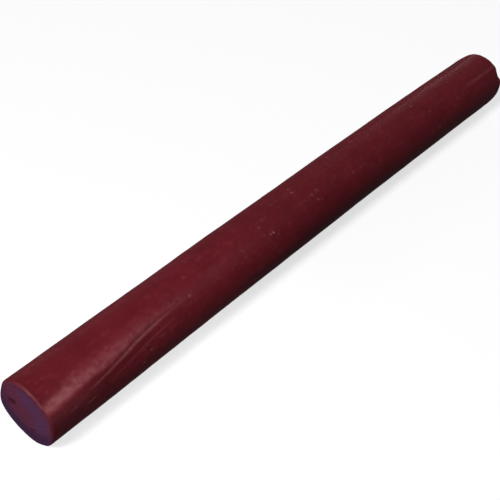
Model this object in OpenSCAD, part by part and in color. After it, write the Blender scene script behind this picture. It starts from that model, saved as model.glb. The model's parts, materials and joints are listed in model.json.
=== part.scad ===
// Solid paint marker: a bare round stick of pigmented oil-and-wax paint.
// The soft paint inside is closed in by its own dried skin: a sleeve along the barrel,
// a cup over the tail, and a disc over the marking end that is pulled off before the first mark.
// The stick lies along X on the plane Z = 0, with the marking end at -X and the tail at +X.

/* [Stick] */
// Diameter of the stick over its skin
stick_d = 9.5; // [6:0.5:20]
// Length of the stick from the marking end to the tail
stick_l = 105; // [60:1:180]

/* [Skin] */
// Thickness of the dried skin along the barrel
barrel_skin_t = 0.4; // [0.2:0.05:0.8]
// Thickness of the dried skin over the marking end
tip_skin_t = 0.6; // [0.3:0.05:1.2]
// Thickness of the dried skin over the tail
tail_skin_t = 0.6; // [0.3:0.05:1.2]
// Straight length of the tail skin along the barrel, up to where the stick starts to round off
tail_skirt_l = 0.7; // [0.4:0.1:3]

/* [Rims] */
// Radius of the rim of the marking end
tip_rim_r = 0.25; // [0.1:0.05:0.28]
// Radius of the rim of the tail
tail_rim_r = 0.7; // [0.3:0.05:1.2]

/* [Hidden] */
$fn = 96;

// Least rim radius of the soft paint under a thick skin
least_rim_r = 0.1;
stick_r = stick_d / 2;
core_r = stick_r - barrel_skin_t;
core_tail_rim_r = max(least_rim_r, tail_rim_r - barrel_skin_t);
tip_x = -stick_l / 2;
tail_x = stick_l / 2;
core_tip_x = tip_x + tip_skin_t;
core_tail_x = tail_x - tail_skin_t;
tail_round_x = min(tail_x - tail_rim_r, core_tail_x - core_tail_rim_r);
tail_skirt_x = tail_round_x - tail_skirt_l;

// Sets a solid turned about Z along the stick's own axis, X, resting on the plane Z = 0
module along_stick() {
    translate([0, 0, stick_r])
        rotate([0, 90, 0])
            children();
}

// Half section of a round bar from one station to another, with the rim at its far end rounded
module bar_half_section(bar_r, from_x, to_x, rim_r) {
    translate([0, from_x])
        square([bar_r, to_x - rim_r - from_x]);
    translate([0, to_x - rim_r])
        square([bar_r - rim_r, rim_r]);
    intersection() {
        translate([bar_r - rim_r, to_x - rim_r])
            circle(r = rim_r);
        translate([bar_r - rim_r, to_x - rim_r])
            square(rim_r);
    }
}

// Soft paint that makes the mark
module paint_core() {
    color([0.42, 0.03, 0.05])
        along_stick()
            rotate_extrude()
                bar_half_section(core_r, core_tip_x, core_tail_x, core_tail_rim_r);
}

// Dried skin round the barrel, from the marking end to the tail's skirt
module barrel_skin() {
    color([0.36, 0.09, 0.11])
        along_stick()
            rotate_extrude()
                translate([core_r, core_tip_x])
                    square([barrel_skin_t, tail_skirt_x - core_tip_x]);
}

// Dried skin over the flat marking end
module tip_skin() {
    color([0.34, 0.12, 0.16])
        along_stick()
            mirror([0, 0, 1])
                rotate_extrude()
                    bar_half_section(stick_r, -core_tip_x, -tip_x, tip_rim_r);
}

// Dried skin over the tail, as a cup whose skirt meets the barrel's skin
module tail_skin() {
    color([0.33, 0.08, 0.10])
        along_stick()
            rotate_extrude()
                difference() {
                    bar_half_section(stick_r, tail_skirt_x, tail_x, tail_rim_r);
                    bar_half_section(core_r, core_tip_x, core_tail_x, core_tail_rim_r);
                }
}

paint_core();
barrel_skin();
tip_skin();
tail_skin();
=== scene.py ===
"""Looks of a solid paint marker: a bare round stick of dark red paint under its own dried skin.

Lengths are in millimetres, and MM turns them into metres. Names that end in _M or _m are in metres already.
A place on the stick is its distance along the stick from the marking end, and its angle round the stick in
degrees: 0 faces +Y, 90 faces up and 180 faces -Y. A place on an end face is its distance across, towards +Y,
and up.
"""

import json
import math

import bpy
import numpy as np
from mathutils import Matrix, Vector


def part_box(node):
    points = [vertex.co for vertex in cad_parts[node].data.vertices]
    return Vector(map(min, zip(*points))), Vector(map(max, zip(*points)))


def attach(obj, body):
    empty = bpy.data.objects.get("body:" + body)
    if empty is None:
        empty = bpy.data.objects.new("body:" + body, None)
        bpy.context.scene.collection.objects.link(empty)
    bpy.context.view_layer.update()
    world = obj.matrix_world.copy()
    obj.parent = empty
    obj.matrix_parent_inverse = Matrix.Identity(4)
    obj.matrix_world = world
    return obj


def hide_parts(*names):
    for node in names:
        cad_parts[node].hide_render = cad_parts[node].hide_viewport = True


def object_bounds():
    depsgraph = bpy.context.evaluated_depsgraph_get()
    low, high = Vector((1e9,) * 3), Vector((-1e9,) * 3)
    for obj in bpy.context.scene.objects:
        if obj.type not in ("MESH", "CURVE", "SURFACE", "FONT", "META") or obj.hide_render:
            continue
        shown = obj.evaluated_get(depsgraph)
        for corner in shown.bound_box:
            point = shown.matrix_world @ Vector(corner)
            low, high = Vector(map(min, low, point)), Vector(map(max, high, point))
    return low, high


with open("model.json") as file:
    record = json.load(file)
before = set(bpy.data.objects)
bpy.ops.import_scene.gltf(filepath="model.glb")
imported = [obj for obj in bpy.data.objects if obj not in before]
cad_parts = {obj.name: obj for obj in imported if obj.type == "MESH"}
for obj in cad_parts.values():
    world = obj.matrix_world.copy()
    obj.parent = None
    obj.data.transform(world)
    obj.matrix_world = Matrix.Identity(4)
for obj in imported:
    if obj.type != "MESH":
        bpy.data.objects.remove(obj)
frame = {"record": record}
cad_low, cad_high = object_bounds()

MM = 0.001

# Sizes of the stick, from the solids
grip = next(m for m in frame["record"]["mounts"] if m["name"] == "holder_grip")
STICK_R = grip["dims"]["r_mm"]
AXIS_Z = grip["pos_m"][2] / MM
TIP_X = cad_low.x / MM
STICK_L = cad_high.x / MM - TIP_X
TIP_SKIN_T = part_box("barrel_skin")[0].x / MM - TIP_X
SKIRT_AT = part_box("barrel_skin")[1].x / MM - TIP_X
CORE_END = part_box("paint_core")[1].x / MM - TIP_X
CORE_R = (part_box("paint_core")[1].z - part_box("paint_core")[0].z) / 2 / MM

# Rounded rims, as in the solids
TIP_RIM = 0.25
TAIL_RIM = 0.7
CORE_TAIL_RIM = 0.3

# How finely the meshes are divided
RING_POINTS = 208
FINE_STEP = 0.16
FINE_LENGTH = 24.0
COARSE_STEP = 0.4
LEAST_STEP = 0.05
SPECK_STEPS = np.linspace(-0.26, 0.26, 5)
CORE_RINGS = 24
FACE_RINGS = 40
SEAT_RINGS = 3
RIM_RINGS = 8
SIDE_RINGS = 3
WALL_RINGS = 6
SHARP_EDGE = math.radians(45.0)
COLUMN = np.arange(RING_POINTS)
NEXT_COLUMN = np.roll(COLUMN, -1)
ANGLES = COLUMN * 360.0 / RING_POINTS
COS = np.cos(np.radians(ANGLES))
SIN = np.sin(np.radians(ANGLES))

# Shapes that the relief is made of
RAGGED_RIPPLES = 14
RAGGED_LENGTHS = (1.0, 2.0)


def smooth_step(low, high, value):
    """0 up to low, and 1 from high on."""
    t = np.clip((value - low) / (high - low), 0.0, 1.0)
    return t * t * (3.0 - 2.0 * t)


def smooth_drop(low, high, value):
    """1 up to low, and 0 from high on."""
    return 1.0 - smooth_step(low, high, value)


def fading(along, length, held):
    """1 from the marking end over the held share of a length, and 0 from the end of that length on."""
    return smooth_drop(held * length, length, along)


def hump(distance, width):
    """A smooth bump of height 1 at distance 0."""
    return np.exp(-((distance / width) ** 2))


def arc_from(angle, centre):
    """Distance round the stick from the centre to the angle, positive where the angle is the larger."""
    turned = (angle - centre + 180.0) % 360.0 - 180.0
    return np.radians(turned) * STICK_R


def ripples(seed, count, lengths, turns, along, angle):
    """Smooth random ripples, about -1 to 1, that close up round the stick."""
    draw = np.random.default_rng(seed)
    total = np.zeros(np.broadcast(along, angle).shape)
    for _ in range(count):
        length = draw.uniform(*lengths)
        turns_round = draw.integers(turns[0], turns[1] + 1) * draw.choice((-1, 1))
        phase = draw.uniform(0.0, 2.0 * math.pi)
        total += np.cos(2.0 * math.pi * along / length + turns_round * np.radians(angle) + phase)
    return total / math.sqrt(count)


def ragged(seed, turns):
    """Ripples round a rim."""
    return ripples(seed, RAGGED_RIPPLES, RAGGED_LENGTHS, turns, np.zeros_like(ANGLES), ANGLES)


def waves(across, up, kinds):
    """Sum of waves over an end face.

    A kind is a height and the waves that are multiplied in it. Each wave is its radians per millimetre
    across, its radians per millimetre up, and its phase.
    """
    total = 0.0
    for height, factors in kinds:
        shapes = [np.cos(per_across * across + per_up * up + phase) for per_across, per_up, phase in factors]
        total = total + height * math.prod(shapes)
    return total


# Form of the stick: bowed a little and thinner at its tail, with a soft corner over flats at the marking end
BOW = 0.16
TAIL_PART = 30.0
TAIL_SWAY = -0.18
TAIL_THINNED = 0.05
CORNER_H = 0.27
CORNER_AT = 151.5
# Degrees that the corner turns round the stick in a millimetre
CORNER_TWIST = -0.95
CORNER_SPREAD = 1.5
CORNER_ROUND = 0.25
CORNER_LENGTH = 28.0
# Flats that it was pressed into, and where its tail is worn: (angle, half width, depth)
FLATS = [(184.0, 1.8, 0.15), (242.0, 0.9, 0.06)]
FLAT_LENGTH = 20.0
TAIL_WORN = [(48.0, 2.0, 0.12), (77.0, 1.5, -0.08), (151.0, 0.8, 0.2), (203.0, 2.2, 0.16)]
TAIL_WORN_LENGTH = 2.5
# Share of their length over which the corner and the flats are whole
FORM_HELD = 0.2


def sideways(along):
    """How far the axis of the stick lies towards +Y."""
    middle_share = (1.0 - (2.0 * along / STICK_L - 1.0) ** 2) ** 2
    return BOW * middle_share + TAIL_SWAY * smooth_step(STICK_L - TAIL_PART, STICK_L, along)


def thinned(along):
    """How much thinner the stick gets towards its tail."""
    return TAIL_THINNED * np.clip(1.0 - (STICK_L - along) / TAIL_PART, 0.0, 1.0) ** 2


def set_back(places, angle):
    """Depth at an angle of the flats or worn places in a list, with a place proud where it is negative."""
    return sum(depth * hump(arc_from(angle, centre), width) for centre, width, depth in places)


def corner_distance(along, angle):
    """Distance round the stick from the corner, positive below it."""
    return arc_from(angle, CORNER_AT + CORNER_TWIST * along)


def corner_share(along):
    """How much of the corner is left along the stick."""
    return fading(along, CORNER_LENGTH, FORM_HELD)


def soft_corner(along, angle):
    """Height of the corner that runs back from the marking end."""
    away = np.hypot(corner_distance(along, angle), CORNER_ROUND) - CORNER_ROUND
    return CORNER_H * corner_share(along) * np.exp(-away / CORNER_SPREAD)


def pressed_flat(along, angle):
    """Depth of the flats under the corner."""
    return fading(along, FLAT_LENGTH, FORM_HELD) * set_back(FLATS, angle)


def worn_tail(along, angle):
    """How much the last stretch before the tail is worn down."""
    return smooth_step(STICK_L - TAIL_WORN_LENGTH, STICK_L, along) * set_back(TAIL_WORN, angle)


# The crease behind the marking end, as points along and round the stick
CREASE = [(6.5, 152.0), (9.0, 148.8), (13.0, 141.8), (15.0, 137.5), (19.0, 132.6), (23.0, 130.6)]
# Wrinkles and raised lines, whose rolls carry a painted highlight: (points along and round the stick, depth,
# height of the rolls beside it)
WRINKLES = [
    (CREASE, 0.075, 0.052),
    ([(5.0, 154.0), (9.0, 148.8), (13.0, 141.8)], 0.0, 0.05),
    ([(17.0, 134.9), (19.0, 132.6), (26.0, 129.0)], 0.02, 0.016),
    ([(7.3, 165.5), (10.4, 161.0), (16.0, 149.5), (20.6, 144.0), (23.7, 142.0)], 0.02, 0.02),
    ([(2.4, 162.5), (4.6, 162.0)], 0.02, 0.045),
    ([(5.0, 170.5), (7.4, 169.5)], 0.02, 0.045),
    ([(91.5, 126.6), (107.0, 126.4)], 0.0, 0.028),
    ([(92.8, 123.9), (108.0, 123.3)], 0.0, 0.028),
    ([(72.0, 76.5), (92.0, 75.0), (98.0, 77.5), (103.0, 73.0), (115.0, 70.5)], 0.0, 0.022),
    ([(73.0, 73.7), (92.0, 72.2), (98.0, 74.7), (103.0, 70.2), (115.0, 67.5)], 0.0, 0.018),
    ([(31.0, 318.0), (39.0, 309.0), (47.0, 305.0)], 0.06, 0.03),
    ([(66.0, 262.0), (73.0, 258.0), (80.0, 250.0)], 0.04, 0.03),
]
WRINKLE_W = 0.13
LOWER_ROLL_AT = 0.32
LOWER_ROLL_W = 0.17
UPPER_ROLL_AT = -0.8
UPPER_ROLL_W = 0.6
UPPER_ROLL_SHARE = 0.5
# Share of its length over which a wrinkle fades in, and out
WRINKLE_FADE = 0.35


def wrinkle_distance(along, angle, points):
    """(distance across a wrinkle, how much of the wrinkle is left towards its ends)."""
    stations = [p[0] for p in points]
    centre = np.interp(along, stations, [p[1] for p in points])
    fade = WRINKLE_FADE * (stations[-1] - stations[0])
    start = smooth_step(stations[0], stations[0] + fade, along)
    end = smooth_drop(stations[-1] - fade, stations[-1], along)
    return arc_from(angle, centre), start * end


def wrinkle_height(along, angle):
    """Height of the wrinkles: a groove, a narrow roll below it and a wide one above it."""
    total = np.zeros(np.broadcast(along, angle).shape)
    for points, depth, roll in WRINKLES:
        across, share = wrinkle_distance(along, angle, points)
        groove = depth * hump(across, WRINKLE_W)
        lower_roll = roll * hump(across - LOWER_ROLL_AT, LOWER_ROLL_W)
        upper_roll = UPPER_ROLL_SHARE * roll * hump(across - UPPER_ROLL_AT, UPPER_ROLL_W)
        total += share * (lower_roll + upper_roll - groove)
    return total


# Specks that show: (along, angle, radius, height), with a pit where the height is negative
SPECKS = [
    (24.9, 134.0, 0.17, 0.028),
    (40.7, 113.0, 0.24, 0.011),
    (41.6, 134.0, 0.15, 0.04),
    (42.2, 134.7, 0.17, 0.09),
    (42.1, 139.0, 0.18, -0.07),
    (42.9, 141.8, 0.15, 0.015),
    (49.8, 96.0, 0.16, 0.035),
    (50.1, 84.6, 0.18, 0.02),
    (52.1, 121.4, 0.2, 0.02),
    (52.5, 134.7, 0.15, 0.025),
    (53.2, 138.2, 0.15, 0.02),
    (53.3, 119.0, 0.17, 0.028),
    (60.7, 74.6, 0.18, 0.03),
    (61.4, 133.4, 0.2, 0.018),
    (66.4, 76.7, 0.18, 0.03),
    (81.5, 93.5, 0.17, 0.032),
    (83.6, 126.1, 0.18, 0.02),
]
# A speck this high is as pale as specks get, and a pit this deep gets the darkest painted shade
SPECK_FULL_H = 0.05
# Smaller specks and pits, scattered all round
SCATTERED_SPECKS = 50
SCATTER_SEED = 11
SCATTER_FROM_TIP = 2.0
SCATTER_FROM_TAIL = 3.0
SCATTER_R = (0.16, 0.24)
SCATTER_H = (0.012, 0.03)
# Ripples of the skin: (height, seed, how many, lengths along the stick, turns round it)
SLOW_SWELL = (0.022, 1, 10, (14.0, 60.0), (1, 3))
UNEVEN = (0.006, 2, 14, (3.0, 9.0), (4, 12))
LEATHERY = (0.002, 4, 18, (1.7, 4.0), (8, 18))
DRAWN_LINES = (0.0025, 3, 16, (25.0, 90.0), (18, 60))


def all_specks():
    """The specks that show, and a seeded scatter of smaller ones all round."""
    draw = np.random.default_rng(SCATTER_SEED)
    scatter = []
    for _ in range(SCATTERED_SPECKS):
        along = draw.uniform(SCATTER_FROM_TIP, STICK_L - SCATTER_FROM_TAIL)
        angle = draw.uniform(0.0, 360.0)
        radius = draw.uniform(*SCATTER_R)
        height = draw.choice((-1.0, 1.0)) * draw.uniform(*SCATTER_H)
        scatter.append((along, angle, radius, height))
    return SPECKS + scatter


def speck_bumps(along, angle):
    """(height of the specks, share of a proud speck, share of a pit)."""
    height = np.zeros(np.broadcast(along, angle).shape)
    proud = np.zeros_like(height)
    sunk = np.zeros_like(height)
    for at, round_at, radius, tall in all_specks():
        bump_shape = hump(np.hypot(along - at, arc_from(angle, round_at)), radius)
        height += tall * bump_shape
        marked = proud if tall > 0.0 else sunk
        np.maximum(marked, bump_shape * min(1.0, abs(tall) / SPECK_FULL_H), out=marked)
    return height, proud, sunk


def skin_height(along, angle):
    """How far the skin stands from the plain round stick."""
    total = soft_corner(along, angle) - pressed_flat(along, angle)
    for height, *kind in (SLOW_SWELL, UNEVEN, LEATHERY, DRAWN_LINES):
        total = total + height * ripples(*kind, along, angle)
    marks = speck_bumps(along, angle)[0] + wrinkle_height(along, angle)
    return total + marks


def skin_radius(along, angle):
    return STICK_R - thinned(along) - worn_tail(along, angle) + skin_height(along, angle)


# How strong the painted highlight on a roll is, for each millimetre of its height, and how deep a fold is
# that gets the darkest painted shade
ROLL_HIGHLIGHT = 7.0
DARK_DEPTH = 0.09
# Polish on the corner, which also paints a brighter red highlight there, at distances round the stick from it
POLISH_FROM = -2.9
POLISH_FULL = -0.6
POLISH_TO = 0.3
# At the rim of the marking end its upper side is narrower
POLISH_RIM_POWER = 3.0
# Away from that rim it is fainter and reaches further down
POLISH_NEAR = 3.0
POLISH_AWAY = 7.0
POLISH_LEFT = 0.6
POLISH_LONGER = 0.5
POLISH_WIDER = 0.4
# Painted reflection: a pale sheen on the flank behind the marking end
FLANK_SHEEN = 0.15
FLANK_SHEEN_AT = 160.0
FLANK_SHEEN_W = 1.1
FLANK_SHEEN_LENGTH = 11.0
FLANK_SHEEN_HELD = 0.3


def flank_sheen_share(along, angle):
    """How much painted reflection lies on the flank behind the marking end."""
    haze = FLANK_SHEEN * hump(arc_from(angle, FLANK_SHEEN_AT), FLANK_SHEEN_W)
    return haze * fading(along, FLANK_SHEEN_LENGTH, FLANK_SHEEN_HELD)


def polish_and_highlight_share(along, angle):
    """How glossy handling has made the corner, where a highlight is also painted."""
    below = corner_distance(along, angle)
    away = smooth_step(POLISH_AWAY, POLISH_AWAY + POLISH_NEAR, along)
    power = 1.0 + POLISH_RIM_POWER * smooth_drop(0.0, POLISH_AWAY, along)
    rise = smooth_step(POLISH_FROM, POLISH_FULL, below) ** power
    fall = smooth_drop(POLISH_FULL + POLISH_LONGER * away, POLISH_TO + POLISH_WIDER * away, below)
    left = 1.0 - (1.0 - POLISH_LEFT) * smooth_step(POLISH_NEAR, POLISH_AWAY, along)
    return rise * fall * left * corner_share(along)


def skin_masks(along, angle):
    """Pale specks, painted highlights on the rolls, painted reflection on the flank, painted shade in folds
    and pits, and the corner's gloss with its painted highlight.
    """
    _, proud, painted_shade = speck_bumps(along, angle)
    # Pale specks, and painted reflection on the flank
    worn = np.maximum(proud, flank_sheen_share(along, angle))
    for points, depth, roll in WRINKLES:
        across, share = wrinkle_distance(along, angle, points)
        painted_shade = np.maximum(painted_shade, min(1.0, depth / DARK_DEPTH) * share * hump(across, WRINKLE_W))
        # Painted highlights on the rolls beside the wrinkles
        worn = np.maximum(worn, ROLL_HIGHLIGHT * roll * share * hump(across - LOWER_ROLL_AT, LOWER_ROLL_W))
    return {"worn": worn, "painted_shade": painted_shade, "polished_with_highlight": polish_and_highlight_share(along, angle)}


# Building the meshes from rings of points

def stick_points(along, radius):
    """Points in metres, in the frame of the solids, for rings of the given stations and radii."""
    along, radius, cosine, sine = np.broadcast_arrays(along, radius, COS, SIN)
    return np.stack([TIP_X + along, radius * cosine + sideways(along), AXIS_Z + radius * sine], axis=-1) * MM


def whole_rings(stations):
    """Each station repeated round its ring."""
    return np.asarray(stations)[:, None] * np.ones(RING_POINTS)


def face_rings(edge_radius, count, outward=True):
    """(share, radius) of rings over an end face, from near its centre to its edge, or back."""
    shares = np.linspace(0.0, 1.0, count + 1)[1:]
    share = whole_rings(shares if outward else shares[::-1])
    return share, share * edge_radius


def rim_turns(start, stop):
    """Turns in radians of a rim's rings past the start. In degrees, 0 is at its face and 90 at its side."""
    return np.radians(np.linspace(start, stop, RIM_RINGS + 1)[1:])[:, None]


def quads_between(row, next_row):
    """Faces between two rows of points, each row given by the index of its first point."""
    corners = [row + COLUMN, row + NEXT_COLUMN, next_row + NEXT_COLUMN, next_row + COLUMN]
    return np.stack(corners, axis=1).tolist()


def cap(pole, row, at_start):
    """Triangles from a pole to a ring."""
    first, second = (NEXT_COLUMN, COLUMN) if at_start else (COLUMN, NEXT_COLUMN)
    return np.stack([np.full(RING_POINTS, pole), row + first, row + second], axis=1).tolist()


def joined_masks(bands):
    """The masks of all bands, one after another, and 0 where a band lacks a mask that another has."""
    keys = dict.fromkeys(key for _, masks in bands for key in masks)
    joined = {}
    for key in keys:
        values = [np.broadcast_to(masks.get(key, 0.0), rings.shape[:2]) for rings, masks in bands]
        joined[key] = np.concatenate(values).reshape(-1)
    return joined


def piece_from_bands(name, bands, closed_loop=False):
    """One closed mesh through bands of rings with their masks: round a loop, or with a pole at each end."""
    rings = np.concatenate([band for band, _ in bands])
    count = len(rings)
    points = rings.reshape(-1, 3)
    masks = joined_masks(bands)
    faces = []
    for row in range(count if closed_loop else count - 1):
        faces += quads_between(row * RING_POINTS, (row + 1) % count * RING_POINTS)
    if not closed_loop:
        faces += cap(len(points), 0, True)
        faces += cap(len(points) + 1, (count - 1) * RING_POINTS, False)
        points = np.vstack([points, rings[0].mean(axis=0), rings[-1].mean(axis=0)])
        masks = {key: np.append(value, value[[0, -1]]) for key, value in masks.items()}
    mesh = bpy.data.meshes.new(name)
    mesh.from_pydata(points.tolist(), [], faces)
    for key, value in masks.items():
        layer = mesh.attributes.new(name=key, type="FLOAT", domain="POINT")
        layer.data.foreach_set("value", value.astype(np.float32))
    mesh.polygons.foreach_set("use_smooth", np.ones(len(mesh.polygons), dtype=bool))
    mesh.set_sharp_from_angle(angle=SHARP_EDGE)
    piece = bpy.data.objects.new(name, mesh)
    bpy.context.scene.collection.objects.link(piece)
    return piece


# The skin along the barrel

def barrel_stations():
    """Stations along the barrel, closer near the marking end and at the specks that show."""
    fine = np.arange(TIP_SKIN_T, FINE_LENGTH, FINE_STEP)
    coarse = np.linspace(FINE_LENGTH, SKIRT_AT, round((SKIRT_AT - FINE_LENGTH) / COARSE_STEP))
    close = [speck[0] + step for speck in SPECKS for step in SPECK_STEPS]
    stations = [TIP_SKIN_T]
    for station in sorted([*fine, *coarse, *close]):
        if station - stations[-1] > LEAST_STEP:
            stations.append(station)
    return stations


def make_barrel_film():
    """The dried skin along the barrel, with its wrinkles and specks, as a thin sleeve."""
    outer_along = whole_rings(barrel_stations())
    outer = stick_points(outer_along, skin_radius(outer_along, ANGLES))
    inner = stick_points(whole_rings(np.linspace(SKIRT_AT, TIP_SKIN_T, CORE_RINGS)), CORE_R)
    bands = [(outer, skin_masks(outer_along, ANGLES)), (inner, {})]
    return piece_from_bands("barrel_film", bands, closed_loop=True)


# The film over the marking end: pits are (across, up, half length, half width, depth)
TIP_PITS = [
    (2.36, 0.8, 0.5, 0.5, 0.14),
    (1.7, 0.8, 0.36, 0.4, 0.12),
    (2.85, 0.1, 0.3, 0.24, 0.06),
    (-0.83, -2.45, 0.26, 0.22, 0.14),
    (0.9, -1.1, 0.16, 0.16, 0.05),
    (-1.9, 1.4, 0.14, 0.14, 0.04),
]
PIT_TILT = math.radians(-25.0)
# A pit this deep gets the darkest painted shade
PIT_DARK = 0.16
# Lines that the cut left, which sway a little, with finer ones among them and a slow swell under them
CUT_TILT = math.radians(62.0)
CUT_LINE_H = 0.008
CUT_LINE_WAVE = 9.0
CUT_LINE_SWAY = 0.8
CUT_SWAY_WAVE = 1.3
FINE_CUT_LINES = [(0.005, [(21.0, 1.1, 1.0)])]
FACE_SWELL = [(0.05, [(0.55, 0.0, -0.4), (0.0, 0.5, 0.6)])]
FACE_FLAT_FROM = 0.86
FACE_FLAT_TO = 0.98
# Where the film parts from the soft paint: torn, with strings
PARTING_WAVES = [
    (0.05, [(1.9, 0.7, 0.0)]),
    (0.035, [(-1.2, 3.1, 0.5)]),
    (0.018, [(7.3, -4.1, 0.0), (0.0, 2.2, 1.0)]),
]
PARTING_FLAT_FROM = 0.88
# The cut is a little askew, so that the +Y side stands forward
CUT_REACH = 0.42
CUT_REACH_AT = (4.73, 0.46)
CUT_REACH_R = 4.7
# Where the rim of the marking end is worn rounder, or is left sharper: (angle, half width, more radius)
TIP_WORN_RIMS = [
    (18.0, 1.9, 0.6),
    (88.0, 2.0, 0.2),
    (183.0, 2.3, 0.33),
    (226.0, 2.0, -0.2),
    (262.0, 1.6, -0.15),
]
# The ragged lip along the upper right of the rim
LIP_H = 0.07
LIP_FROM = 75.0
LIP_TO = 152.0
LIP_SOFT = 15.0
LIP_SEED = 23
LIP_TURNS = (3, 16)
LIP_MEAN = 0.6
LIP_VARIES = 0.4
LIP_MOST = 1.3
LIP_TURN = math.radians(25.0)
LIP_SPREAD = math.radians(40.0)
# It carries a painted highlight, from this share of the face outwards, and painted shade behind it
LIP_HIGHLIGHT = 0.45
LIP_INSIDE = 0.87
LIP_SHADE = 0.4
LIP_SHADE_TURNS = (0.8, 1.5)
LIP_SHADE_LEFT = 0.7
# Turns round the rim over which the film ends, and over which the barrel's marks begin
FILM_TURNS = (0.0, 1.2)
BARREL_TURNS = (0.3, 1.2)
# The plum bloom, partly a painted blue reflection, lies in a band inside the upper rim, away from +Y
BLOOM_R = 2.6
BLOOM_BAND = 1.2
BLOOM_LEAN = 0.45
BLOOM_FROM = -0.6
BLOOM_FULL = 1.6
# Painted shade, darker towards the lower rim: this share of the distance counts from the centre, and the rest
# from one side
LOWER_SHADE_ANGLE = math.radians(298.0)
LOWER_SHADE_FROM = 1.6
LOWER_SHADE_FULL = 3.1
LOWER_SHADE_ROUND_SHARE = 0.6


def pit_shape(across, up, pit):
    """Depth of one pit over an end face."""
    at_across, at_up, long_r, short_r, depth = pit
    along_pit = (across - at_across) * math.cos(PIT_TILT) + (up - at_up) * math.sin(PIT_TILT)
    across_pit = (up - at_up) * math.cos(PIT_TILT) - (across - at_across) * math.sin(PIT_TILT)
    return depth * np.exp(-((along_pit / long_r) ** 2 + (across_pit / short_r) ** 2))


def all_pits(across, up, pits):
    return sum(pit_shape(across, up, pit) for pit in pits)


def tip_face_height(share, across, up):
    """How far the film stands out of the plane of the marking end, with the lines that the cut left."""
    across_cut = across * math.cos(CUT_TILT) + up * math.sin(CUT_TILT)
    along_cut = up * math.cos(CUT_TILT) - across * math.sin(CUT_TILT)
    sway = CUT_LINE_SWAY * np.sin(CUT_SWAY_WAVE * along_cut)
    lines = CUT_LINE_H * np.cos(CUT_LINE_WAVE * across_cut + sway)
    lines += waves(across_cut, along_cut, FINE_CUT_LINES)
    relief = lines + waves(across, up, FACE_SWELL) - all_pits(across, up, TIP_PITS)
    return relief * smooth_drop(FACE_FLAT_FROM, FACE_FLAT_TO, share)


def parting_height(across, up):
    """Height of the face where the film of the marking end parts from the soft paint."""
    inside = smooth_drop(PARTING_FLAT_FROM * CORE_R, CORE_R, np.hypot(across, up))
    return waves(across, up, PARTING_WAVES) * inside


def cut_reach(across, up):
    """How far the marking end stands forward of a square cut."""
    return CUT_REACH * hump(np.hypot(across - CUT_REACH_AT[0], up - CUT_REACH_AT[1]), CUT_REACH_R)


def tip_rim_radius():
    """Radius of the rim of the marking end at each angle."""
    return TIP_RIM + set_back(TIP_WORN_RIMS, ANGLES)


def bloom_and_reflection_share(across, up):
    """The band of plum bloom, partly a painted blue reflection, on the side of the face away from +Y."""
    side = smooth_step(BLOOM_FROM, BLOOM_FULL, BLOOM_LEAN * up - across)
    return side * hump(np.hypot(across, up) - BLOOM_R, BLOOM_BAND)


def lower_shade_share(across, up):
    """Painted shade, darker towards the lower rim of the face."""
    towards = across * math.cos(LOWER_SHADE_ANGLE) + up * math.sin(LOWER_SHADE_ANGLE)
    distance = LOWER_SHADE_ROUND_SHARE * np.hypot(across, up) + (1.0 - LOWER_SHADE_ROUND_SHARE) * towards
    return smooth_step(LOWER_SHADE_FROM, LOWER_SHADE_FULL, distance)


def lip_share():
    """How much of a ragged lip stands at each angle of the marking end's rim."""
    start = smooth_step(LIP_FROM - LIP_SOFT, LIP_FROM + LIP_SOFT, ANGLES)
    end = smooth_drop(LIP_TO - LIP_SOFT, LIP_TO + LIP_SOFT, ANGLES)
    return start * end * np.clip(LIP_MEAN + LIP_VARIES * ragged(LIP_SEED, LIP_TURNS), 0.0, LIP_MOST)


def make_marking_end_film():
    """The film over the marking end: its face with pits and cut lines, its lip, and the back it parts on."""
    rim = tip_rim_radius()
    end_radius = skin_radius(np.zeros(RING_POINTS), ANGLES)
    share, face_radius = face_rings(end_radius - rim, FACE_RINGS)
    across, up = face_radius * COS, face_radius * SIN
    face = stick_points(-cut_reach(across, up) - tip_face_height(share, across, up), face_radius)

    turn = rim_turns(0.0, 90.0)
    lip = lip_share() * hump(turn - LIP_TURN, LIP_SPREAD)
    rim_radius = end_radius - rim * (1.0 - np.sin(turn))
    rim_along = rim * (1.0 - np.cos(turn)) - cut_reach(rim_radius * COS, rim_radius * SIN)
    rounded = stick_points(rim_along - LIP_H * lip, rim_radius)

    side_along = np.linspace(rim_along[-1], TIP_SKIN_T, SIDE_RINGS + 1)[1:]
    side_radius = skin_radius(side_along, ANGLES)
    side = stick_points(side_along, side_radius)

    back_radius = face_rings(side_radius[-1], FACE_RINGS, outward=False)[1][1:]
    back = stick_points(TIP_SKIN_T - parting_height(back_radius * COS, back_radius * SIN), back_radius)

    face_masks = {
        "film": 1.0,
        "bloom": bloom_and_reflection_share(across, up),
        "lower_shade": lower_shade_share(across, up),
        "worn": LIP_HIGHLIGHT * lip[0] * smooth_step(LIP_INSIDE, 1.0, share),
        "painted_shade": np.clip(all_pits(across, up, TIP_PITS) / PIT_DARK, 0.0, 1.0),
    }
    side_masks = skin_masks(side_along, ANGLES)
    onto_side = smooth_step(*BARREL_TURNS, turn)
    rim_masks = {
        "film": smooth_drop(*FILM_TURNS, turn),
        "lower_shade": lower_shade_share(rim_radius * COS, rim_radius * SIN),
        "worn": side_masks["worn"][0] * onto_side + LIP_HIGHLIGHT * lip,
        "painted_shade": LIP_SHADE * lip_share() * smooth_step(*LIP_SHADE_TURNS, turn),
        "polished_with_highlight": side_masks["polished_with_highlight"][0] * onto_side,
    }
    shade_left = np.linspace(LIP_SHADE_LEFT, 0.0, SIDE_RINGS)[:, None]
    side_masks["painted_shade"] = rim_masks["painted_shade"][-1] * shade_left
    bands = [(face, face_masks), (rounded, rim_masks), (side, side_masks), (back, {"wet": 1.0})]
    return piece_from_bands("marking_end_film", bands)


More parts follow.
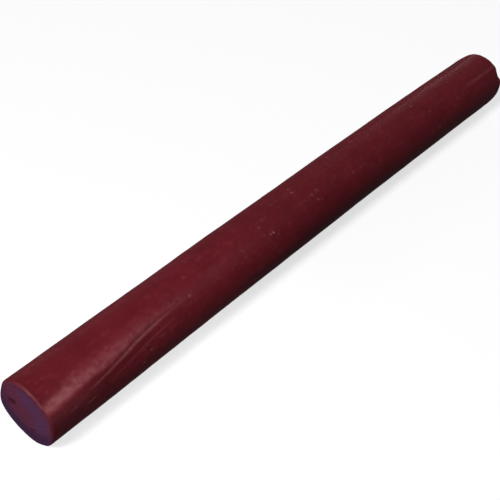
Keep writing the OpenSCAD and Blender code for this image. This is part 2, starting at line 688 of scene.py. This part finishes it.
# The skin over the tail: a chip and a burr on its rim are (angle, half width, depth)
TAIL_CHIP = (150.0, 0.7, 0.34)
TAIL_BURR = (166.0, 0.7, -0.14)
# Painted shade in the chip
CHIP_DARK = 0.6
RIM_MIDDLE = math.radians(45.0)
# The rim is ragged: height, seed and turns
TAIL_RAGGED_H = 0.02
TAIL_RAGGED_SEED = 31
TAIL_RAGGED_TURNS = (4, 30)
TAIL_LOSS_SPREAD = math.radians(45.0)
# Share of the face's radius from which its edge follows the rim
TAIL_EDGE_FROM = 0.7
# It is rubbed pale in places
TAIL_RUBBED = 0.14
TAIL_RUBBED_SEED = 33
TAIL_RUBBED_TURNS = (2, 11)
TAIL_RUBBED_MEAN = 0.3
TAIL_RUBBED_VARIES = 0.5
TAIL_RUBBED_SPREAD = math.radians(40.0)
# The cast end sinks at its middle, is uneven and has a few blow holes, listed as the pits are
TAIL_SINK = 0.12
TAIL_SINK_SHARE = 0.55
TAIL_WAVES = [(0.02, [(1.4, 0.0, 0.5), (0.0, 1.1, -0.8)])]
TAIL_FLAT_FROM = 0.88
TAIL_PITS = [
    (-1.4, 1.2, 0.3, 0.24, 0.12),
    (1.7, -0.6, 0.2, 0.2, 0.1),
    (0.4, 2.3, 0.14, 0.14, 0.06),
]


def tail_rim_loss(turn):
    """How far the rim of the tail is cut back, along the stick and inwards alike, at each turn."""
    loss = TAIL_RAGGED_H * ragged(TAIL_RAGGED_SEED, TAIL_RAGGED_TURNS)
    loss += set_back((TAIL_CHIP, TAIL_BURR), ANGLES)
    return math.sqrt(0.5) * loss * hump(turn - RIM_MIDDLE, TAIL_LOSS_SPREAD)


def tail_face_height(share, across, up):
    """The cast end: a shallow sink at its middle, and a few blow holes."""
    sink = TAIL_SINK * hump(share, TAIL_SINK_SHARE)
    relief = waves(across, up, TAIL_WAVES) - sink - all_pits(across, up, TAIL_PITS)
    return relief * smooth_drop(TAIL_FLAT_FROM, 1.0, share)


def core_tail_rim(from_face):
    """(along, radius) of the rounded tail of the soft paint, from its face to its side, or back."""
    turns = rim_turns(0.0, 90.0)
    turn = turns if from_face else turns[::-1]
    along = CORE_END - CORE_TAIL_RIM * (1.0 - np.cos(turn))
    return along, CORE_R - CORE_TAIL_RIM * (1.0 - np.sin(turn))


def tail_rim_masks(turn):
    """Where the rim of the tail is pale from wear, and where its chip gets painted shade."""
    pale_wear_and_highlight = TAIL_RUBBED_MEAN + TAIL_RUBBED_VARIES * ragged(TAIL_RUBBED_SEED, TAIL_RUBBED_TURNS)
    worn = TAIL_RUBBED * np.clip(pale_wear_and_highlight, 0.0, 1.0) * hump(turn - RIM_MIDDLE, TAIL_RUBBED_SPREAD)
    chip_angle, chip_width, _ = TAIL_CHIP
    return {"worn": worn, "painted_shade": CHIP_DARK * hump(arc_from(ANGLES, chip_angle), chip_width)}


def make_tail_film():
    """The skin over the tail, as a cup with a rounded and chipped rim."""
    seat_radius = face_rings(CORE_R - CORE_TAIL_RIM, SEAT_RINGS)[1]
    seat = stick_points(CORE_END, seat_radius)
    seat_rim = stick_points(*core_tail_rim(True))
    skirt_edge = stick_points(whole_rings([SKIRT_AT]), CORE_R)

    wall_along = whole_rings(np.linspace(SKIRT_AT, STICK_L - TAIL_RIM, WALL_RINGS))
    wall = stick_points(wall_along, skin_radius(wall_along, ANGLES))

    turn = rim_turns(90.0, 0.0)
    loss = tail_rim_loss(turn)
    rim_along = STICK_L - TAIL_RIM * (1.0 - np.cos(turn)) - loss
    rim_radius = skin_radius(rim_along, ANGLES) - TAIL_RIM * (1.0 - np.sin(turn)) - loss
    rounded = stick_points(rim_along, rim_radius)

    share, face_radius = face_rings(rim_radius[-1], FACE_RINGS, outward=False)
    share, face_radius = share[1:], face_radius[1:]
    edge_loss = loss[-1] * smooth_step(TAIL_EDGE_FROM, 1.0, share)
    face_height = tail_face_height(share, face_radius * COS, face_radius * SIN) - edge_loss
    face = stick_points(STICK_L + face_height, face_radius)

    inside = [(seat, {}), (seat_rim, {}), (skirt_edge, {})]
    outside = [(wall, skin_masks(wall_along, ANGLES)), (rounded, tail_rim_masks(turn)), (face, {})]
    return piece_from_bands("tail_film", inside + outside)


# The soft paint inside

def make_soft_paint():
    """The soft paint. Its torn front face shows once the film of the marking end is off."""
    front_radius = face_rings(CORE_R, FACE_RINGS)[1]
    front = stick_points(TIP_SKIN_T - parting_height(front_radius * COS, front_radius * SIN), front_radius)
    wall_along = whole_rings([*np.linspace(TIP_SKIN_T, SKIRT_AT, CORE_RINGS)[1:], CORE_END - CORE_TAIL_RIM])
    wall = stick_points(wall_along, CORE_R)
    rounded = stick_points(*core_tail_rim(False))
    end_radius = face_rings(CORE_R - CORE_TAIL_RIM, SEAT_RINGS, outward=False)[1]
    end = stick_points(CORE_END, end_radius)
    return piece_from_bands("soft_paint", [(front, {}), (wall, {}), (rounded, {}), (end, {})])


# Materials: colours as a plain light shows them
DARK_PAINT = (0.081, 0.0063, 0.0100, 1.0)
PLAIN_PAINT = (0.104, 0.0090, 0.0142, 1.0)
# A brighter red that paints a highlight on the polished corner
HIGHLIGHT_PAINT = (0.146, 0.0150, 0.0220, 1.0)
# Pale bloom, also used for pale specks and wear, painted highlights and painted reflection
PALE_BLOOM_AND_HIGHLIGHT = (0.36, 0.125, 0.130, 1.0)
# Plum bloom, partly a painted blue reflection
TIP_BLOOM_AND_REFLECTION = (0.088, 0.0265, 0.072, 1.0)
TIP_RUBBED = (0.102, 0.021, 0.045, 1.0)
# Painted shade towards the lower rim of the marking end
TIP_SHADE = (0.046, 0.0145, 0.047, 1.0)
# Painted shade in folds, pits, the tail's chip and behind the lip
SHADE_PAINT = (0.022, 0.0020, 0.0035, 1.0)
SHADE_PAINT_SHARE = 0.85
FRESH_PAINT = (0.150, 0.0065, 0.0115, 1.0)
FRESH_DARK = (0.100, 0.0042, 0.0078, 1.0)
FRESH_SPECULAR = 0.12
WAX_ROUGHNESS = 0.43
POLISHED_GLOSS = 0.6
# Finish of each skin: (roughness, bloom, gloss)
BARREL_FINISH = (0.40, 0.11, 0.07)
TAIL_FINISH = (0.43, 0.10, 0.07)
TIP_FINISH = (0.44, 0.10, 0.06)
# Noises: (scale for each metre, detail, roughness)
MOTTLE = (220.0, 5.0, 0.7)
PATCHES = (420.0, 3.0, 0.6)
LEATHER = (1300.0, 2.0, 0.55)
GRAIN = (4200.0, 2.0, 0.5)
LINES = (1500.0, 3.0, 0.6)
TIP_CLOUD = (800.0, 4.0, 0.65)
SMEAR = (500.0, 4.0, 0.6)
FRESH_GRAIN = (3500.0, 2.0, 0.5)
# The lines are drawn out along the stick, and the cloud is strong in the plum bloom and painted reflection of
# the marking end
LINE_SCALE = (0.06, 1.0, 1.0)
TIP_BLOTCHES = 1.8
# Parts of a value's range that are used, and the range that some of them are stretched to
MOTTLE_RANGE = (0.32, 0.68)
POLISH_BROKEN = (0.35, 0.62, 0.45, 1.0)
POLISH_HIGHLIGHT_RANGE = (0.0, 0.6)
HAZE_LEATHER = (0.45, 0.75)
HAZE_LINES = (0.4, 0.75)
HAZE_PATCHES = (0.3, 0.7)
PALE_MARK_GRAIN = (0.35, 0.6, 0.35, 0.9)
TIP_BLOOM_RANGE = (1.0, 1.62)
TIP_SHADE_RANGE = (0.5, 1.5)
ROUGH_RANGE = (0.7, 1.3)
ROUGH_LESS = 0.05
ROUGH_MORE = 0.08
SMEAR_RANGE = (0.35, 0.65)
SMEAR_ROUGHNESS = (0.3, 0.7, 0.3, 0.48)
# Relief in the materials, with the wax over the skin smoother than the skin
GRAIN_RELIEF = 0.25
SKIN_BUMP = 0.45
WAX_BUMP = 0.15
SKIN_BUMP_M = 0.00004
FRESH_GRAIN_RELIEF = 0.3
FRESH_BUMP = 0.5
FRESH_BUMP_M = 0.00006


def new_node(tree, kind, settings=None, **inputs):
    """A shader node with its inputs set to values or linked to other nodes' outputs."""
    node = tree.nodes.new(kind)
    for key, value in (settings or {}).items():
        setattr(node, key, value)
    for key, value in inputs.items():
        feed(tree, node.inputs[key.replace("_", " ")], value)
    return node


def feed(tree, socket, value):
    """Links an output to a socket, or sets the socket to a value."""
    if isinstance(value, bpy.types.NodeSocket):
        tree.links.new(value, socket)
    else:
        socket.default_value = value


def blank_material(name):
    material = bpy.data.materials.new(name)
    material.use_nodes = True
    material.node_tree.nodes.clear()
    return material, material.node_tree


def object_place(tree):
    return new_node(tree, "ShaderNodeTexCoord").outputs["Object"]


def noise(tree, vector, scale, detail, roughness):
    node = new_node(
        tree, "ShaderNodeTexNoise", Vector=vector, Scale=scale, Detail=detail, Roughness=roughness
    )
    return node.outputs[0]


def spread(tree, value, low, high, to_low=0.0, to_high=1.0):
    """The value's range from low to high, stretched to another range and held at its ends."""
    node = new_node(
        tree, "ShaderNodeMapRange", Value=value, From_Min=low, From_Max=high, To_Min=to_low, To_Max=to_high
    )
    return node.outputs[0]


def maths(tree, operation, first, second):
    node = new_node(tree, "ShaderNodeMath", {"operation": operation})
    feed(tree, node.inputs[0], first)
    feed(tree, node.inputs[1], second)
    return node.outputs[0]


def times(tree, first, second):
    return maths(tree, "MULTIPLY", first, second)


def plus(tree, first, second):
    return maths(tree, "ADD", first, second)


def mixed(tree, share, first, second):
    """A colour between two others."""
    node = new_node(tree, "ShaderNodeMix", {"data_type": "RGBA"})
    for socket, value in zip((node.inputs[0], node.inputs[6], node.inputs[7]), (share, first, second)):
        feed(tree, socket, value)
    return node.outputs[2]


def mask(tree, name):
    return new_node(tree, "ShaderNodeAttribute", {"attribute_name": name}).outputs["Fac"]


def bump(tree, relief, strength, distance_m):
    return new_node(tree, "ShaderNodeBump", Strength=strength, Distance=distance_m, Height=relief).outputs[0]


def skin_material(name, finish, film=None):
    """Dried paint skin: mottled dark red, a waxy bloom, leathery grain and faint lines along the stick."""
    roughness, bloom, gloss = finish
    material, tree = blank_material(name)
    place = object_place(tree)
    drawn_out = new_node(tree, "ShaderNodeMapping", Vector=place, Scale=LINE_SCALE).outputs[0]
    mottle = noise(tree, place, *MOTTLE)
    patches = noise(tree, place, *PATCHES)
    leather = noise(tree, place, *LEATHER)
    grain = noise(tree, place, *GRAIN)
    lines = noise(tree, drawn_out, *LINES)

    paint = mixed(tree, spread(tree, mottle, *MOTTLE_RANGE), DARK_PAINT, PLAIN_PAINT)
    # The corner's gloss mask also paints a brighter red highlight there
    polish_highlight = times(tree, mask(tree, "polished_with_highlight"), spread(tree, leather, *POLISH_BROKEN))
    paint = mixed(tree, spread(tree, polish_highlight, *POLISH_HIGHLIGHT_RANGE), paint, HIGHLIGHT_PAINT)
    haze = times(tree, spread(tree, leather, *HAZE_LEATHER), spread(tree, lines, *HAZE_LINES))
    haze = times(tree, haze, spread(tree, patches, *HAZE_PATCHES, 0.0, 2.0 * bloom))
    # Pale specks and wear, painted highlights on rolls and the lip, and painted reflection on the flank
    pale_wear_and_highlight = times(tree, mask(tree, "worn"), spread(tree, grain, *PALE_MARK_GRAIN))
    paint = mixed(tree, maths(tree, "MAXIMUM", haze, pale_wear_and_highlight), paint, PALE_BLOOM_AND_HIGHLIGHT)
    if film:
        paint = film(tree, place, paint)
    # Painted shade in folds, pits, the chip and behind the lip
    paint = mixed(tree, times(tree, mask(tree, "painted_shade"), SHADE_PAINT_SHARE), paint, SHADE_PAINT)

    uneven = plus(tree, mottle, leather)
    rough = spread(tree, uneven, *ROUGH_RANGE, roughness - ROUGH_LESS, roughness + ROUGH_MORE)
    coat = plus(tree, times(tree, polish_highlight, POLISHED_GLOSS - gloss), gloss)
    relief = plus(tree, times(tree, grain, GRAIN_RELIEF), plus(tree, leather, lines))
    shader = new_node(
        tree, "ShaderNodeBsdfPrincipled", Base_Color=paint, Roughness=rough,
        Normal=bump(tree, relief, SKIN_BUMP, SKIN_BUMP_M),
        Specular_IOR_Level=0.0, Coat_Weight=coat, Coat_Roughness=WAX_ROUGHNESS,
        Coat_Normal=bump(tree, relief, WAX_BUMP, SKIN_BUMP_M),
    )
    new_node(tree, "ShaderNodeOutputMaterial", Surface=shader.outputs[0])
    return material


def tip_film(tree, place, paint):
    """Dull plum bloom over the marking end, partly a painted blue reflection, scuffed back to red in patches,
    with painted shade towards its lower rim, and wet paint behind it.
    """
    cloud = noise(tree, place, *TIP_CLOUD)
    blotches = times(tree, cloud, TIP_BLOTCHES)
    left = spread(tree, plus(tree, blotches, mask(tree, "bloom")), *TIP_BLOOM_RANGE)
    film = mixed(tree, left, TIP_RUBBED, TIP_BLOOM_AND_REFLECTION)
    lower_shade = spread(tree, plus(tree, cloud, mask(tree, "lower_shade")), *TIP_SHADE_RANGE)
    film = mixed(tree, lower_shade, film, TIP_SHADE)
    share = times(tree, mask(tree, "film"), maths(tree, "SUBTRACT", 1.0, mask(tree, "worn")))
    paint = mixed(tree, share, paint, film)
    return mixed(tree, mask(tree, "wet"), paint, FRESH_PAINT)


def soft_paint_material():
    """Soft paint: richer red, smeared and shinier than its skin."""
    material, tree = blank_material("soft_paint_fresh")
    place = object_place(tree)
    smear = noise(tree, place, *SMEAR)
    grain = noise(tree, place, *FRESH_GRAIN)
    paint = mixed(tree, spread(tree, smear, *SMEAR_RANGE), FRESH_DARK, FRESH_PAINT)
    rough = spread(tree, smear, *SMEAR_ROUGHNESS)
    relief = plus(tree, smear, times(tree, grain, FRESH_GRAIN_RELIEF))
    shader = new_node(
        tree, "ShaderNodeBsdfPrincipled", Base_Color=paint, Roughness=rough,
        Normal=bump(tree, relief, FRESH_BUMP, FRESH_BUMP_M), Specular_IOR_Level=FRESH_SPECULAR,
    )
    new_node(tree, "ShaderNodeOutputMaterial", Surface=shader.outputs[0])
    return material


# The stage
FLOOR_SIDE_M = 6.0
FLOOR_PALE = (0.32, 0.32, 0.32, 1.0)
FLOOR_GLOW = (0.69, 0.69, 0.69, 1.0)
ROOM_PALE = (1.0, 1.0, 1.0, 1.0)
GLOW_NEAR_M = 0.15
GLOW_FAR_M = 0.45
FLOOR_BOUNCE = (0.02, 0.025, 0.05, 1.0)
WORLD_COLOUR = (0.02, 0.025, 0.05, 1.0)
# Softboxes, in metres: (name, place, what it points at, size, watts)
SOFTBOXES = [
    ("key", (-0.43, -0.045, 0.50), (0.0, 0.0, 0.005), (0.19, 0.21), 4.7),
    ("far_fill", (0.20, -0.16, 0.30), (0.04, 0.0, 0.008), (0.12, 0.12), 0.13),
    ("back_strip", (0.385, 0.219, 0.142), (0.04, 0.0, 0.008), (0.08, 0.04), 0.22),
    ("tail_fill", (0.50, 0.06, 0.055), (0.05, 0.0, 0.005), (0.12, 0.08), 0.42),
    ("rear_fill", (0.10, 0.50, 0.06), (0.0, 0.0, 0.005), (0.30, 0.08), 0.28),
]
# The spot on the marking end: (name, place, what it points at, radius, cone in degrees, watts)
TIP_SPOT = ("tip_light", (0.065, -0.199, 0.207), (-0.050, -0.003, 0.008), 0.035, 6.4, 8.5)


def mixed_shaders(tree, share, first, second):
    node = new_node(tree, "ShaderNodeMixShader", Fac=share)
    feed(tree, node.inputs[1], first)
    feed(tree, node.inputs[2], second)
    return node.outputs[0]


def seen(tree):
    """1 for what is looked at directly, or in a shiny or clear surface."""
    path = new_node(tree, "ShaderNodeLightPath").outputs
    either = maths(tree, "MAXIMUM", path["Is Camera Ray"], path["Is Glossy Ray"])
    return maths(tree, "MAXIMUM", either, path["Is Transmission Ray"])


def make_floor():
    """A plain pale floor that keeps the shadow, throws little light back up and runs into the pale room."""
    bpy.ops.mesh.primitive_plane_add(size=FLOOR_SIDE_M)
    floor = bpy.context.object
    floor.name = "floor"
    material, tree = blank_material("pale_floor")
    pale = new_node(tree, "ShaderNodeBsdfDiffuse", Color=FLOOR_PALE).outputs[0]
    away = new_node(tree, "ShaderNodeVectorMath", {"operation": "LENGTH"}, Vector=object_place(tree))
    far = spread(tree, away.outputs["Value"], GLOW_NEAR_M, GLOW_FAR_M)
    glow_colour = mixed(tree, far, FLOOR_GLOW, ROOM_PALE)
    glow = new_node(tree, "ShaderNodeEmission", Color=glow_colour).outputs[0]
    bounce = new_node(tree, "ShaderNodeBsdfDiffuse", Color=FLOOR_BOUNCE).outputs[0]
    lit = new_node(tree, "ShaderNodeAddShader")
    feed(tree, lit.inputs[0], pale)
    feed(tree, lit.inputs[1], glow)
    surface = mixed_shaders(tree, seen(tree), bounce, lit.outputs[0])
    new_node(tree, "ShaderNodeOutputMaterial", Surface=surface)
    floor.data.materials.append(material)


def make_world():
    """A room that lights the stick dimly, and looks pale."""
    world = bpy.data.worlds.new("room")
    world.use_nodes = True
    tree = world.node_tree
    tree.nodes.clear()
    dim = new_node(tree, "ShaderNodeBackground", Color=WORLD_COLOUR).outputs[0]
    pale = new_node(tree, "ShaderNodeBackground", Color=ROOM_PALE).outputs[0]
    surface = mixed_shaders(tree, seen(tree), dim, pale)
    new_node(tree, "ShaderNodeOutputWorld", Surface=surface)
    bpy.context.scene.world = world


def place_lamp(light, at_m, target_m):
    """Puts a lamp in its place and points it at its target."""
    lamp = bpy.data.objects.new(light.name, light)
    bpy.context.scene.collection.objects.link(lamp)
    away = np.subtract(target_m, at_m)
    lamp.location = at_m
    tilt = math.atan2(math.hypot(away[0], away[1]), -away[2])
    lamp.rotation_euler = (tilt, 0.0, math.atan2(away[1], away[0]) - math.pi / 2.0)


def softbox(name, at_m, target_m, size_m, watts):
    light = bpy.data.lights.new(name, "AREA")
    light.shape = "RECTANGLE"
    light.size, light.size_y = size_m
    light.energy = watts
    place_lamp(light, at_m, target_m)


def soft_spot(name, at_m, target_m, radius_m, cone, watts):
    light = bpy.data.lights.new(name, "SPOT")
    light.shadow_soft_size = radius_m
    light.spot_size = math.radians(cone)
    light.spot_blend = 1.0
    light.energy = watts
    place_lamp(light, at_m, target_m)


def make_lights():
    """The softboxes round the stick, and the spot on its marking end."""
    for lamp in SOFTBOXES:
        softbox(*lamp)
    soft_spot(*TIP_SPOT)


# Camera, as the photograph was taken: its focal length is in pixels of the picture, and its angles in degrees
IMAGE_PX = 500
FOCAL_PX = 959.5
SENSOR_WIDTH = 36.0
CAMERA_AT = (-92.90, -68.88, 91.61)
CAMERA_PITCH = 50.606
CAMERA_TURN = -49.702
CLIP_START_M = 0.001


def make_camera():
    data = bpy.data.cameras.new("camera")
    data.sensor_width = SENSOR_WIDTH
    data.lens = FOCAL_PX / IMAGE_PX * SENSOR_WIDTH
    data.clip_start = CLIP_START_M
    camera = bpy.data.objects.new("camera", data)
    bpy.context.scene.collection.objects.link(camera)
    camera.location = [value * MM for value in CAMERA_AT]
    camera.rotation_euler = (math.radians(CAMERA_PITCH), 0.0, math.radians(CAMERA_TURN))
    bpy.context.scene.camera = camera


def dress(piece, node, body, material):
    """Puts a finished piece in the place of a solid, on its body."""
    piece.data.materials.append(material)
    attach(piece, body)
    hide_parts(node)


make_camera()
dress(make_soft_paint(), "paint_core", "stick", soft_paint_material())
dress(
    make_barrel_film(), "barrel_skin", "stick",
    skin_material("barrel_skin_paint", BARREL_FINISH),
)
dress(
    make_tail_film(), "tail_skin", "stick",
    skin_material("tail_skin_paint", TAIL_FINISH),
)
dress(
    make_marking_end_film(), "tip_skin", "tip_film",
    skin_material("tip_skin_paint", TIP_FINISH, tip_film),
)
make_floor()
make_world()
make_lights()
bpy.context.scene.view_settings.view_transform = "Standard"
